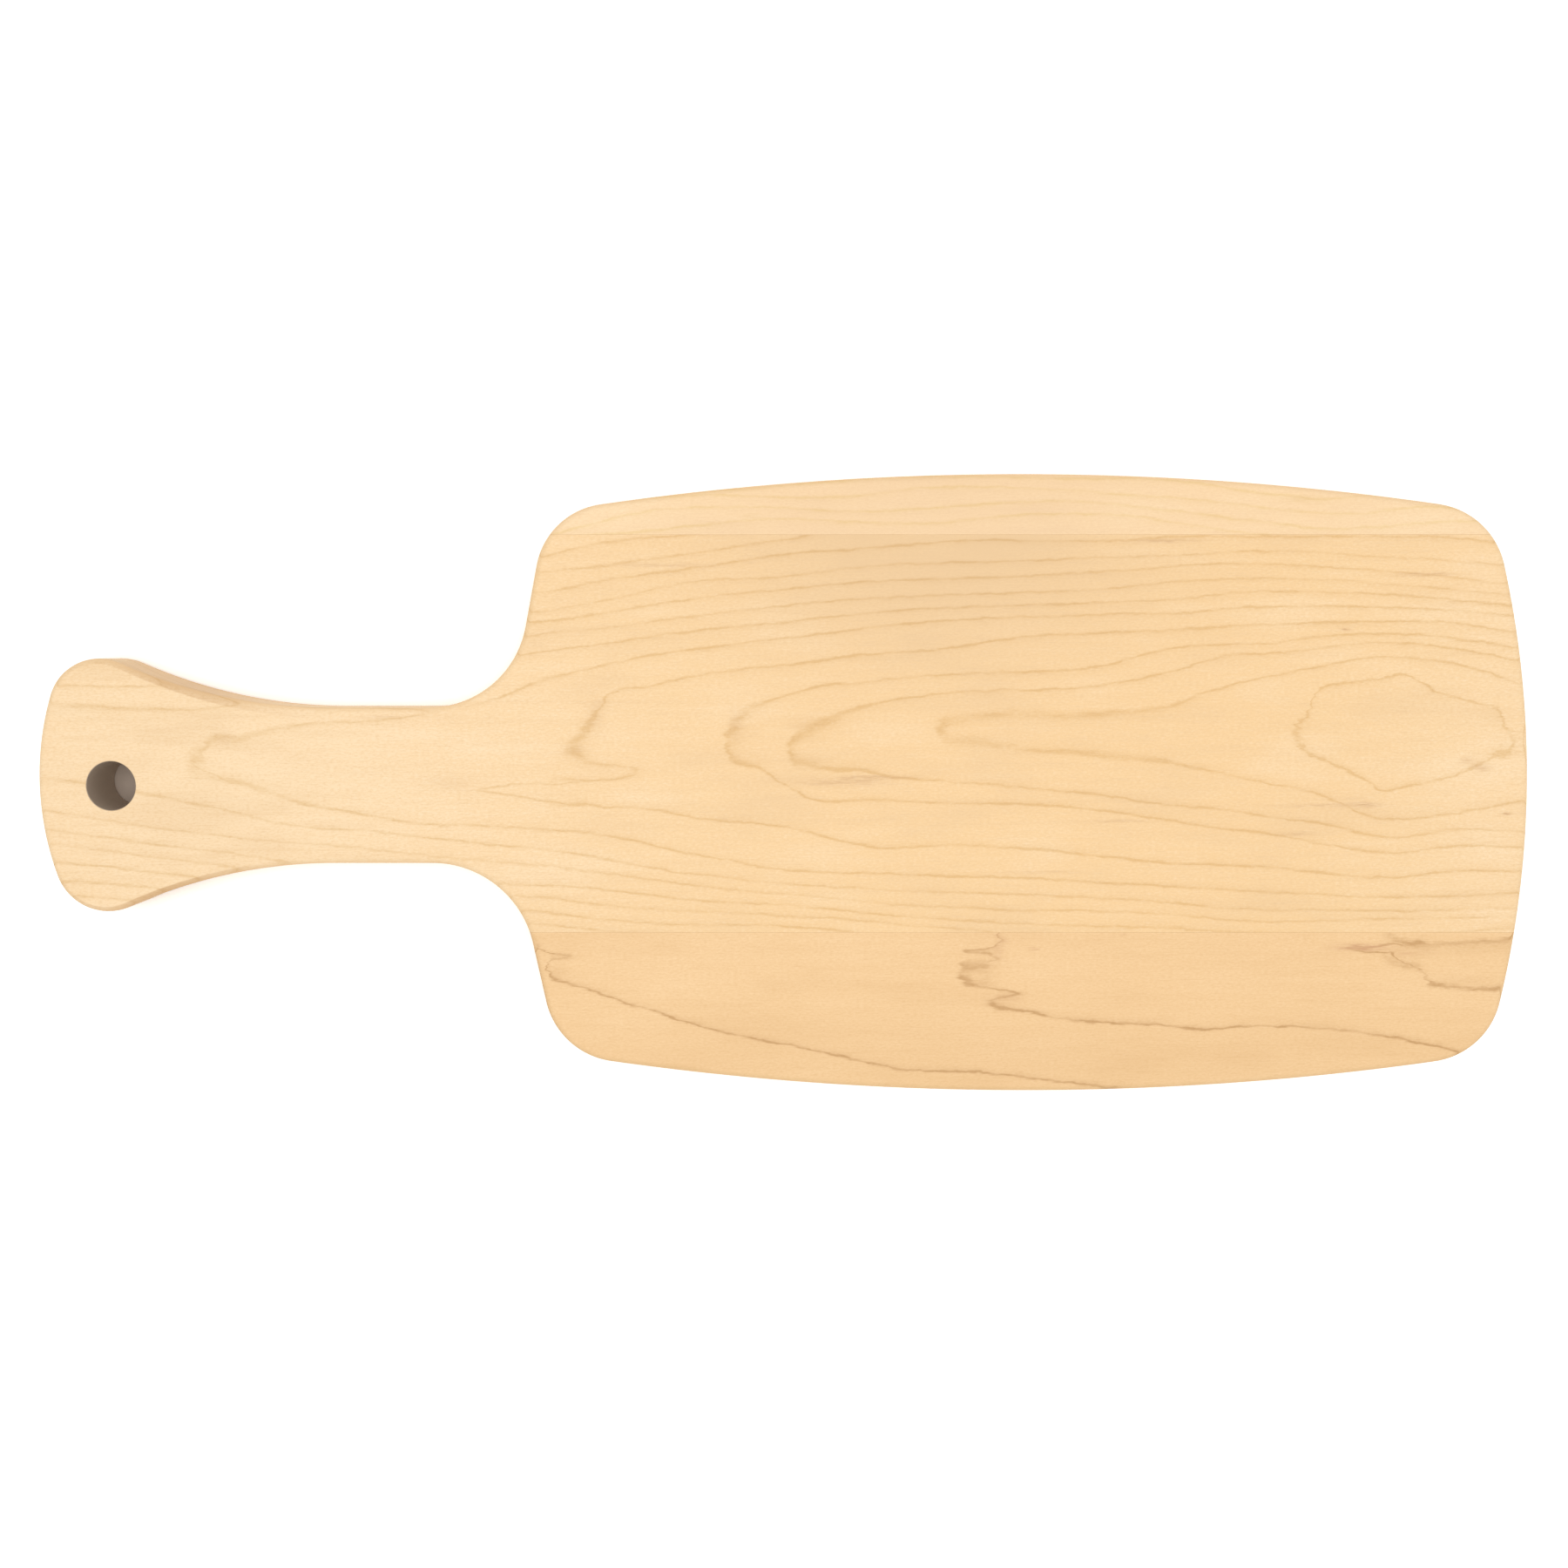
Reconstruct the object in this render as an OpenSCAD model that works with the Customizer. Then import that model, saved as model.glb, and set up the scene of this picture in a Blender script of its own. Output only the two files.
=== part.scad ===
// Paddle serving board: three maple staves glued edge to edge, sawn to a
// paddle outline, rounded over along both faces, with a hang hole in the
// handle's head. The board lies on z = 0 with its blade towards +X.

/* [Board] */
// Length from the end of the handle to the end of the blade
board_length = 457; // [430:1:500]
// Width of the blade at its widest place
board_width = 190; // [170:1:220]
// Thickness of the wood
board_thickness = 19; // [12:0.5:25]
// Radius that rounds the outer edges of both faces
edge_radius = 2; // [1:0.25:4]

/* [Blade] */
// Distance from the end of the blade to its widest place
widest_from_end = 155; // [120:1:190]
// Radius of the gently bowed long sides
side_bow_radius = 900; // [600:10:1500]
// Radius of the gently bowed end
end_bow_radius = 300; // [200:5:500]
// Radius of the two corners at the end
blade_corner_radius = 24; // [10:1:35]
// Radius of the two corners at the shoulders
shoulder_corner_radius = 23.5; // [10:0.5:30]
// Angle by which each shoulder leans away from square to the neck
shoulder_lean = 11.5; // [5:0.5:25]
// Radius of the hollow between the neck and each shoulder
throat_radius = 31; // [14:1:36]
// Angle by which the ends and shoulders stand out of square to the seams
end_skew = 0.8; // [0:0.1:3]

/* [Handle] */
// Length from the end of the handle to the start of the shoulder's hollow
handle_length = 120; // [110:1:150]
// Width of the straight neck
neck_width = 48; // [40:1:56]
// Width of the head at its widest place
head_width = 78; // [66:0.5:90]
// Radius of the head's two corners
head_corner_radius = 16; // [8:0.5:20]
// Radius of the head's bowed end
head_bow_radius = 90; // [70:1:200]
// Radius of the hollow flare between the head and the neck
flare_radius = 158; // [120:1:200]

/* [Hang hole] */
// Diameter of the drilled hole
hole_diameter = 15; // [8:0.5:20]
// Distance of the hole's centre from the end of the handle
hole_from_end = 22.5; // [16:0.5:40]
// Width of the small bevel round the hole on both faces
hole_bevel = 0.4; // [0.2:0.1:1]

/* [Staves] */
// Width of the upper edge stave where the blade is widest
upper_stave_width = 18.4; // [10:0.1:40]
// Width of the lower edge stave where the blade is widest
lower_stave_width = 49.7; // [30:0.1:60]
// Thickness of the cured glue between two staves
glue_film = 0.1; // [0.1:0.05:0.3]

/* [Hidden] */

// Largest gap between a true arc and the short flats that stand for it
flatness = 0.03;
// Number of flats across each rounded edge
edge_steps = 4;
// Number of facets in which the round hole is drawn
hole_facets = 96;
// Overrun of the cutting solids past the wood
overrun = 5;

// Ends and sides of the blank
head_end_x = -board_length / 2;
blade_end_x = board_length / 2;
side_y = board_width / 2;

// Glue seams, as the sides of the films that touch the edge staves
upper_seam_y = side_y - upper_stave_width;
lower_seam_y = lower_stave_width - side_y;

// Hang hole
hole_x = head_end_x + hole_from_end;

// Centres of the arcs of the upper half outline, from the head to the blade.
// Each is set by its radius and by the two neighbours that it touches.
head_bow_centre = [head_end_x + head_bow_radius, 0];
head_corner_y = head_width / 2 - head_corner_radius;
head_corner_centre = [
    head_bow_centre.x - leg(head_bow_radius - head_corner_radius, head_corner_y),
    head_corner_y
];
flare_y = neck_width / 2 + flare_radius;
flare_centre = [
    head_corner_centre.x + leg(flare_radius + head_corner_radius, flare_y - head_corner_y),
    flare_y
];
throat_centre = [head_end_x + handle_length, neck_width / 2 + throat_radius];
side_bow_centre = [blade_end_x - widest_from_end, side_y - side_bow_radius];
end_bow_centre = [blade_end_x - end_bow_radius, 0];
shoulder_corner_centre = along_shoulder(side_bow_centre, side_bow_radius - shoulder_corner_radius);
blade_corner_centre = circles_meet(
    side_bow_centre, side_bow_radius - blade_corner_radius,
    end_bow_centre, end_bow_radius - blade_corner_radius
);

// Directions in which neighbouring arcs touch
head_corner_from = direction(head_bow_centre, head_corner_centre);
head_corner_to = direction(head_corner_centre, flare_centre);
shoulder_angle = 180 - shoulder_lean;
shoulder_corner_to = direction(side_bow_centre, shoulder_corner_centre);
blade_corner_from = direction(side_bow_centre, blade_corner_centre);
blade_corner_to = direction(end_bow_centre, blade_corner_centre);

// Other leg of a right triangle
function leg(long_side, side) = sqrt(long_side * long_side - side * side);

// Direction from one point to another, in degrees
function direction(from, to) = atan2(to.y - from.y, to.x - from.x);

// Point at a distance from a centre, in a direction
function polar(centre, radius, angle) = centre + radius * [cos(angle), sin(angle)];

// Centre of the shoulder corner: it slides along a line parallel to the
// shoulder until it lies at the given reach from the side bow's centre.
function along_shoulder(centre, reach) =
    let (heading = [sin(shoulder_lean), cos(shoulder_lean)])
    let (start = polar(throat_centre, throat_radius + shoulder_corner_radius, -shoulder_lean))
    let (back = start - centre)
    let (ahead = back * heading)
    start + (sqrt(ahead * ahead - back * back + reach * reach) - ahead) * heading;

// Upper right point at the distances r1 from c1 and r2 from c2
function circles_meet(c1, r1, c2, r2) =
    let (gap = norm(c2 - c1))
    let (unit = (c2 - c1) / gap)
    let (foot = (r1 * r1 - r2 * r2 + gap * gap) / (2 * gap))
    c1 + foot * unit + leg(r1, foot) * [unit.y, -unit.x];

// Points of an arc without its last one, drawn at its radius less the inset.
// The number of points follows the radius alone, so every ring has as many.
function arc(centre, radius, inset, from, to) =
    let (steps = ceil(abs(to - from) / (2 * acos(1 - flatness / radius))))
    [for (i = [0:steps - 1]) polar(centre, radius - inset, from + (to - from) * i / steps)];

// Upper half of the outline, from the tip of the head to the tip of the
// blade, moved inwards by the inset. Hollow arcs grow where others shrink.
function half_outline(inset) = concat(
    arc(head_bow_centre, head_bow_radius, inset, 180, head_corner_from),
    arc(head_corner_centre, head_corner_radius, inset, head_corner_from, head_corner_to),
    arc(flare_centre, flare_radius, -inset, head_corner_to + 180, 270),
    [polar(flare_centre, flare_radius + inset, 270)],
    arc(throat_centre, throat_radius, -inset, 270, 360 - shoulder_lean),
    [polar(throat_centre, throat_radius + inset, -shoulder_lean)],
    arc(shoulder_corner_centre, shoulder_corner_radius, inset, shoulder_angle, shoulder_corner_to),
    arc(side_bow_centre, side_bow_radius, inset, shoulder_corner_to, blade_corner_from),
    arc(blade_corner_centre, blade_corner_radius, inset, blade_corner_from, blade_corner_to),
    arc(end_bow_centre, end_bow_radius, inset, blade_corner_to, 0),
    [polar(end_bow_centre, end_bow_radius - inset, 0)]
);

// Whole outline at a height: the upper half, then its mirror image, both
// slid along the board in step with their distance from its middle.
function ring(inset, z) =
    let (half = half_outline(inset))
    let (slide = tan(end_skew))
    [
        for (p = half) [p.x - slide * p.y, p.y, z],
        for (i = [len(half) - 2:-1:1]) [half[i].x + slide * half[i].y, -half[i].y, z]
    ];

// Inset and depth of a ring on the rounded edge, from the face (0) to the side (1)
function edge_place(share) = edge_radius * [1 - sin(90 * share), 1 - cos(90 * share)];

// Solid blank: rings stacked from the bottom face to the top face
module blank() {
    places = [for (i = [0:edge_steps]) edge_place(i / edge_steps)];
    rings = concat(
        [for (i = [0:edge_steps]) ring(places[i][0], places[i][1])],
        [for (i = [edge_steps:-1:0]) ring(places[i][0], board_thickness - places[i][1])]
    );
    count = len(rings[0]);
    top = (len(rings) - 1) * count;
    tip = count / 2;
    polyhedron(
        points = [for (points = rings) each points],
        faces = concat(
            cap(0, tip, count, true),
            [
                for (r = [0:len(rings) - 2])
                for (i = [0:count - 1])
                let (next = (i + 1) % count)
                [r * count + i, r * count + next, (r + 1) * count + next, (r + 1) * count + i]
            ],
            cap(top, tip, count, false)
        ),
        convexity = 6
    );
}

// Flat face made of slices between each point and its mirror image
function cap(first, tip, count, below) = [
    for (i = [0:tip - 1])
    let (slice = i == 0 ? [0, 1, count - 1] :
        i == tip - 1 ? [i, tip, count - i] : [i, i + 1, count - i - 1, count - i])
    [for (k = [0:len(slice) - 1]) first + slice[below ? len(slice) - 1 - k : k]]
];

// Box over the blade's part of the blank, between two places across its
// width. It starts where the handle ends, so the handle stays whole.
module blade_strip(from_y, to_y) {
    translate([throat_centre.x, from_y, -overrun])
        cube([blade_end_x - throat_centre.x + overrun, to_y - from_y, board_thickness + 2 * overrun]);
}

// The blank's wood inside such a strip
module stave(from_y, to_y) {
    intersection() {
        blank();
        blade_strip(from_y, to_y);
    }
}

// Drilled hole with a small bevel at both faces
module hang_hole() {
    radius = hole_diameter / 2;
    $fn = hole_facets;
    translate([hole_x, 0, -overrun])
        cylinder(r = radius, h = board_thickness + 2 * overrun);
    translate([hole_x, 0, 0])
        cylinder(r1 = radius + hole_bevel, r2 = radius, h = hole_bevel);
    translate([hole_x, 0, board_thickness - hole_bevel])
        cylinder(r1 = radius, r2 = radius + hole_bevel, h = hole_bevel);
}

module upper_edge_stave() {
    color("#fad9af") stave(upper_seam_y, side_y + overrun);
}

module upper_glue_line() {
    color("#b98a52") stave(upper_seam_y - glue_film, upper_seam_y);
}

module centre_plank() {
    color("#f9d8a8")
        difference() {
            blank();
            blade_strip(upper_seam_y - glue_film, side_y + overrun);
            blade_strip(-side_y - overrun, lower_seam_y + glue_film);
            hang_hole();
        }
}

module lower_glue_line() {
    color("#b98a52") stave(lower_seam_y, lower_seam_y + glue_film);
}

module lower_edge_stave() {
    color("#f6d09f") stave(-side_y - overrun, lower_seam_y);
}

upper_edge_stave();
upper_glue_line();
centre_plank();
lower_glue_line();
lower_edge_stave();
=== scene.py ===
import math

import bmesh
import bpy
import numpy as np
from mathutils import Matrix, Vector


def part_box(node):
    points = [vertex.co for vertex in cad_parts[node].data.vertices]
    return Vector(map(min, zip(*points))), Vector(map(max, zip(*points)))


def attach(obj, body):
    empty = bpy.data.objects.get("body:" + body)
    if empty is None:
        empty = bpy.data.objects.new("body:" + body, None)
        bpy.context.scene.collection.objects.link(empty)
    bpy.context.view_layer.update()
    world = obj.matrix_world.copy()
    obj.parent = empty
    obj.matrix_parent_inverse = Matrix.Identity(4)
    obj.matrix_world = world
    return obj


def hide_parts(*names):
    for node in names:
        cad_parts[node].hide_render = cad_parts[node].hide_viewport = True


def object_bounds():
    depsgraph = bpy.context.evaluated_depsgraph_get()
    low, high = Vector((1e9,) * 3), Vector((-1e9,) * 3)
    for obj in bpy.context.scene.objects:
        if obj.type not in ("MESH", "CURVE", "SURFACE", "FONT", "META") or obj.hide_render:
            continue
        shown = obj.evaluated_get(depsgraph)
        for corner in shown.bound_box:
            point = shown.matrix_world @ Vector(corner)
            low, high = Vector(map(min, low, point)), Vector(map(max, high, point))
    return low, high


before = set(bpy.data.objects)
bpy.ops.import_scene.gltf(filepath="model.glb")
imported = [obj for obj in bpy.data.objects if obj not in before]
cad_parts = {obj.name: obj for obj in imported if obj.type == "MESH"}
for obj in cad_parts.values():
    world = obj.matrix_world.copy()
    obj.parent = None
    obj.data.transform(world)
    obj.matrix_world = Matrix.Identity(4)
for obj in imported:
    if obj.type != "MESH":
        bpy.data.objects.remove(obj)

mm = 0.001
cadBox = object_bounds()
print("frame loaded:", sorted(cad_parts))


# Outline and solid of the board

board = {                   # millimetres and degrees, as the part states them
    "length": 457, "width": 190, "edgeRadius": 2.0, "endSkew": 0.8,
    "headBow": 90, "headCorner": 16, "headWidth": 78, "flare": 158, "neckWidth": 48,
    "handleLength": 120, "throat": 31, "shoulderLean": 11.5, "shoulderCorner": 23.5,
    "sideBow": 900, "widestFromEnd": 155, "bladeCorner": 24, "endBow": 300,
    "arcSpacing": 1.2,      # distance between stations on the tight arcs
    "bowSpacing": 4.0,      # and on the long bows
    "edgeBands": 9,         # bands across each rounded edge
    "faceBands": 12,        # bands across each flat face
    "wallBands": 3,         # bands up the side wall
}
hangHole = {
    "diameter": 15.0, "fromEnd": 22.5, "easedRim": 0.5, "rimBands": 7, "facets": 144, "overrun": 5.0,
    "holeShadeRamp": (0.5, 0.1),        # its painted shade starts and is full at these shares of the eased rim
}
holeX = hangHole["fromEnd"] - board["length"] / 2       # the hole's centre along the board
samePoint = 1e-6                    # millimetres, below which two stations are one
merge = {"points": 1e-7, "edges": 1e-8}     # metres, below which points are one and edges vanish


def heading(start, end):    # direction from one point to another, in degrees
    return math.degrees(math.atan2(end[1] - start[1], end[0] - start[0]))


def leg(longSide, side):    # other leg of a right triangle
    return math.sqrt(longSide * longSide - side * side)


def arc(centre, radius, start, end, spacing, bulge=1):
    # centre + radius * (cos a, sin a) for evenly spaced a from start to end, and the outward normal,
    # which is (cos a, sin a) on a bulging arc and its opposite on a hollow one
    steps = max(4, math.ceil(abs(math.radians(end - start)) * radius / spacing))
    angle = np.radians(start + (end - start) * np.arange(steps + 1) / steps)
    spoke = np.stack([np.cos(angle), np.sin(angle)], axis=1)
    return np.array(centre) + radius * spoke, bulge * spoke


def halfOutline(b):
    # Upper half of the outline from the tip of the head to the tip of the blade: eight arcs, each set by
    # its radius and by the two neighbours that it touches. Gives points and outward normals.
    headEnd, bladeEnd, sideY = -b["length"] / 2, b["length"] / 2, b["width"] / 2
    tight, wide = b["arcSpacing"], b["bowSpacing"]
    headBow = (headEnd + b["headBow"], 0)
    cornerY = b["headWidth"] / 2 - b["headCorner"]
    headCorner = (headBow[0] - leg(b["headBow"] - b["headCorner"], cornerY), cornerY)
    flareY = b["neckWidth"] / 2 + b["flare"]
    flare = (headCorner[0] + leg(b["flare"] + b["headCorner"], flareY - cornerY), flareY)
    throat = (headEnd + b["handleLength"], b["neckWidth"] / 2 + b["throat"])
    sideBow = (bladeEnd - b["widestFromEnd"], sideY - b["sideBow"])
    endBow = (bladeEnd - b["endBow"], 0)
    lean = math.radians(b["shoulderLean"])
    along = np.array([math.sin(lean), math.cos(lean)])
    outwards = np.array([math.cos(lean), -math.sin(lean)])
    start = np.array(throat) + (b["throat"] + b["shoulderCorner"]) * outwards
    back, reach = start - np.array(sideBow), b["sideBow"] - b["shoulderCorner"]
    ahead = back @ along
    shoulder = start + (math.sqrt(ahead * ahead - back @ back + reach * reach) - ahead) * along
    r1, r2 = b["sideBow"] - b["bladeCorner"], b["endBow"] - b["bladeCorner"]
    gap = np.array(endBow) - np.array(sideBow)
    span = math.hypot(*gap)
    foot = (r1 * r1 - r2 * r2 + span * span) / (2 * span)
    corner = np.array(sideBow) + foot * gap / span + leg(r1, foot) * np.array([gap[1], -gap[0]]) / span
    headTurn, flareTurn = heading(headBow, headCorner), heading(headCorner, flare)
    runs = [
        arc(headBow, b["headBow"], 180, headTurn, tight),
        arc(headCorner, b["headCorner"], headTurn, flareTurn, tight),
        arc(flare, b["flare"], flareTurn + 180, 270, tight, bulge=-1),
        arc(throat, b["throat"], 270, 360 - b["shoulderLean"], tight, bulge=-1),
        arc(shoulder, b["shoulderCorner"], 180 - b["shoulderLean"], heading(sideBow, shoulder), tight),
        arc(sideBow, b["sideBow"], heading(sideBow, shoulder), heading(sideBow, corner), wide),
        arc(corner, b["bladeCorner"], heading(sideBow, corner), heading(endBow, corner), tight),
        arc(endBow, b["endBow"], heading(endBow, corner), 0, wide),
    ]
    points = np.concatenate([run[0] for run in runs])
    normals = np.concatenate([run[1] for run in runs])
    fresh = np.r_[True, np.hypot(*np.diff(points, axis=0).T) > samePoint]     # neighbours share a point
    return points[fresh], normals[fresh]


def boardSurface(b, thickness):
    # Closed surface of two parameters. Along the outline runs the station, round the section runs the
    # lane. A point is the station moved inwards by the lane's inset, its distance from the middle line
    # times the lane's share, at the lane's height, and slid along in step with that distance.
    points, normals = halfOutline(b)
    turn = np.radians(np.linspace(0, 90, b["edgeBands"] + 1))
    inset, drop = b["edgeRadius"] * (1 - np.sin(turn)), b["edgeRadius"] * (1 - np.cos(turn))
    across = np.linspace(-1, 1, b["faceBands"] + 1)
    wall = np.linspace(thickness - b["edgeRadius"], b["edgeRadius"], b["wallBands"] + 1)[1:-1]
    sideInset = np.r_[inset, 0 * wall, inset[::-1]]
    sideHeight = np.r_[thickness - drop, wall, drop[::-1]]
    face = np.full(len(across) - 2, b["edgeRadius"])
    laneInset = np.r_[sideInset, face, sideInset, face]
    laneHeight = np.r_[sideHeight, 0 * face, sideHeight[::-1], 0 * face + thickness]
    laneShare = np.r_[0 * sideInset + 1, across[-2:0:-1], 0 * sideInset - 1, across[1:-1]]
    place = points[:, None, :] - laneInset[None, :, None] * normals[:, None, :]
    y = place[..., 1] * laneShare
    x = place[..., 0] - math.tan(math.radians(b["endSkew"])) * y
    z = np.broadcast_to(laneHeight, y.shape)
    return gridMesh("boardBlank", np.stack([x, y, z], axis=-1) * mm)


def gridMesh(name, grid):
    # Quads between neighbouring stations and lanes. The lanes close round, and the ends collapse to
    # lines, which the merge of equal points closes.
    stations, lanes = grid.shape[:2]
    first = (np.arange(stations - 1)[:, None] * lanes + np.arange(lanes)).ravel()
    second = (np.arange(stations - 1)[:, None] * lanes + (np.arange(lanes) + 1) % lanes).ravel()
    faces = np.stack([first, second, second + lanes, first + lanes], axis=1)
    mesh = bpy.data.meshes.new(name)
    mesh.from_pydata(grid.reshape(-1, 3).tolist(), [], faces.tolist())
    work = bmesh.new()
    work.from_mesh(mesh)
    bmesh.ops.remove_doubles(work, verts=work.verts, dist=merge["points"])
    bmesh.ops.dissolve_degenerate(work, dist=merge["edges"], edges=work.edges)
    bmesh.ops.recalc_face_normals(work, faces=work.faces)
    work.to_mesh(mesh)
    work.free()
    return mesh


def placed(name, data):     # a new object in the scene
    item = bpy.data.objects.new(name, data)
    bpy.context.scene.collection.objects.link(item)
    return item


def sawnPiece(name, blank, lowY, highY):
    # The blank's wood between two places across its width, closed where it is sawn
    work = bmesh.new()
    work.from_mesh(blank)
    for place, keepAbove in ((lowY, True), (highY, False)):
        if place is None:
            continue
        cut = bmesh.ops.bisect_plane(
            work, geom=work.verts[:] + work.edges[:] + work.faces[:], plane_co=(0, place, 0),
            plane_no=(0, 1, 0), clear_inner=keepAbove, clear_outer=not keepAbove)
        rim = [item for item in cut["geom_cut"] if isinstance(item, bmesh.types.BMEdge)]
        bmesh.ops.holes_fill(work, edges=rim, sides=0)
    bmesh.ops.recalc_face_normals(work, faces=work.faces)
    mesh = bpy.data.meshes.new(name)
    work.to_mesh(mesh)
    work.free()
    return placed(name, mesh)


def holeCutter(h, thickness):
    # Revolved profile: the drill's radius through the wood, with a quarter circle that eases the rim
    # at each face, then a straight run past the face, closed on the axis
    radius, ease, overrun = h["diameter"] / 2, h["easedRim"], h["overrun"]
    turn = np.radians(np.linspace(0, 90, h["rimBands"] + 1))
    flareOut, depth = radius + ease * (1 - np.sin(turn)), ease * (1 - np.cos(turn))
    r = np.r_[0, radius + ease, flareOut, flareOut[::-1], radius + ease, 0]
    z = np.r_[-overrun, -overrun, depth, thickness - depth[::-1], thickness + overrun, thickness + overrun]
    angle = np.radians(np.arange(h["facets"]) * 360 / h["facets"])
    x = holeX + r[:, None] * np.cos(angle)
    y = r[:, None] * np.sin(angle)
    return gridMesh("holeCutter", np.stack([x, y, np.broadcast_to(z[:, None], y.shape)], axis=-1) * mm)


def cutHole(piece, cutterMesh):
    cutter = placed("holeCutter", cutterMesh)
    drill = piece.modifiers.new("drill", "BOOLEAN")
    drill.operation, drill.object, drill.solver = "DIFFERENCE", cutter, "EXACT"
    bpy.context.view_layer.update()
    drilled = bpy.data.meshes.new_from_object(piece.evaluated_get(bpy.context.evaluated_depsgraph_get()))
    drilled.name = piece.name
    piece.modifiers.clear()
    piece.data = drilled
    bpy.data.objects.remove(cutter)


def finishPiece(piece, node, sharpAngle=35):
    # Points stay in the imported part's box, sawn edges stay sharp and the flats keep flat shading
    mesh = piece.data
    co = np.empty(len(mesh.vertices) * 3, np.float32)
    mesh.vertices.foreach_get("co", co)
    low, high = np.array(cadBox[0], np.float32), np.array(cadBox[1], np.float32)
    mesh.vertices.foreach_set("co", np.clip(co.reshape(-1, 3), low, high).ravel())
    mesh.shade_smooth()
    mesh.set_sharp_from_angle(angle=math.radians(sharpAngle))
    weighted = piece.modifiers.new("flatFaces", "WEIGHTED_NORMAL")
    weighted.keep_sharp = True
    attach(piece, "root")
    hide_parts(node)


thickness = (cadBox[1][2] - cadBox[0][2]) / mm
blank = boardSurface(board, thickness)
upperFilm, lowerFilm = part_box("upper_glue_line"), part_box("lower_glue_line")
pieces = {
    "upperStave": sawnPiece("upperStave", blank, upperFilm[1].y, None),
    "upperGlueLine": sawnPiece("upperGlueLine", blank, upperFilm[0].y, upperFilm[1].y),
    "centrePlank": sawnPiece("centrePlank", blank, lowerFilm[1].y, upperFilm[0].y),
    "lowerGlueLine": sawnPiece("lowerGlueLine", blank, lowerFilm[0].y, lowerFilm[1].y),
    "lowerStave": sawnPiece("lowerStave", blank, None, lowerFilm[0].y),
}
cutHole(pieces["centrePlank"], holeCutter(hangHole, thickness))
finishPiece(pieces["upperStave"], "upper_edge_stave")
finishPiece(pieces["upperGlueLine"], "upper_glue_line")
finishPiece(pieces["centrePlank"], "centre_plank")
finishPiece(pieces["lowerGlueLine"], "lower_glue_line")
finishPiece(pieces["lowerStave"], "lower_edge_stave")
print("board sawn into", len(pieces), "pieces:", {k: len(p.data.polygons) for k, p in pieces.items()})


# Node helpers

def plug(tree, value, socket):      # a socket is linked, a plain value is typed in
    if isinstance(value, bpy.types.NodeSocket):
        tree.links.new(value, socket)
    else:
        socket.default_value = value


def calc(tree, operation, *values, clamp=False):
    node = tree.nodes.new("ShaderNodeMath")
    node.operation, node.use_clamp = operation, clamp
    for value, socket in zip(values, node.inputs):
        plug(tree, value, socket)
    return node.outputs[0]


def total(tree, *values):
    result = values[0]
    for value in values[1:]:
        result = calc(tree, "ADD", result, value)
    return result


def limited(tree, value):           # kept between 0 and 1
    return calc(tree, "MULTIPLY", value, 1.0, clamp=True)


def hypotenuse(tree, first, second):        # sqrt(first^2 + second^2)
    square = calc(tree, "MULTIPLY", second, second)
    return calc(tree, "SQRT", calc(tree, "MULTIPLY_ADD", first, first, square))


def bell(tree, share):              # exp(-share^2)
    return calc(tree, "EXPONENT", calc(tree, "MULTIPLY", calc(tree, "MULTIPLY", share, share), -1.0))


def ramp(tree, value, start, end, low=0.0, high=1.0):      # a smooth rise from low to high
    node = tree.nodes.new("ShaderNodeMapRange")
    node.interpolation_type = "SMOOTHSTEP"
    settings = {"Value": value, "From Min": start, "From Max": end, "To Min": low, "To Max": high}
    for name, setting in settings.items():
        plug(tree, setting, node.inputs[name])
    return node.outputs["Result"]


def axes(tree, vector):             # its x, y and z
    node = tree.nodes.new("ShaderNodeSeparateXYZ")
    tree.links.new(vector, node.inputs[0])
    return node.outputs


def noise(tree, vector, scale, detail, roughness):
    # Noise of the position after each axis is scaled, so a large factor means short waves
    stretch = tree.nodes.new("ShaderNodeVectorMath")
    stretch.operation = "MULTIPLY"
    plug(tree, vector, stretch.inputs[0])
    stretch.inputs[1].default_value = scale
    node = tree.nodes.new("ShaderNodeTexNoise")
    node.inputs["Scale"].default_value = 1.0
    node.inputs["Detail"].default_value = detail
    node.inputs["Roughness"].default_value = roughness
    tree.links.new(stretch.outputs[0], node.inputs["Vector"])
    return node.outputs["Fac"]


def swing(tree, vector, settings):          # noise about zero
    return calc(tree, "SUBTRACT", noise(tree, vector, *settings), 0.5)


def courseCurve(tree, value, points):
    # Smooth course through a few chosen places
    node = tree.nodes.new("ShaderNodeFloatCurve")
    curve = node.mapping.curves[0]
    node.mapping.use_clip = False
    while len(curve.points) < len(points):
        curve.points.new(0, 0)
    for point, (place, height) in zip(curve.points, points):
        point.location = (place, height)
        point.handle_type = "AUTO"
    node.mapping.update()
    plug(tree, value, node.inputs["Value"])
    return node.outputs[0]


def tint(tree, factor, first, second, blend="MIX"):
    node = tree.nodes.new("ShaderNodeMix")
    node.data_type, node.blend_type = "RGBA", blend
    plug(tree, factor, node.inputs[0])
    plug(tree, first, node.inputs[6])
    plug(tree, second, node.inputs[7])
    return node.outputs[2]


def floats(*names):                 # sockets of a group that carry plain numbers
    return [(name, "Float") for name in names]


def newGroup(name, inputs, outputs):
    tree = bpy.data.node_groups.new(name, "ShaderNodeTree")
    for kind, wanted in (("INPUT", inputs), ("OUTPUT", outputs)):
        for socketName, socketType in wanted:
            tree.interface.new_socket(socketName, in_out=kind, socket_type="NodeSocket" + socketType)
    return tree, tree.nodes.new("NodeGroupInput").outputs, tree.nodes.new("NodeGroupOutput").inputs


def useGroup(tree, group, **values):
    node = tree.nodes.new("ShaderNodeGroup")
    node.node_tree = group
    for name, value in values.items():
        plug(tree, value, node.inputs[name])
    return node.outputs


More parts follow.
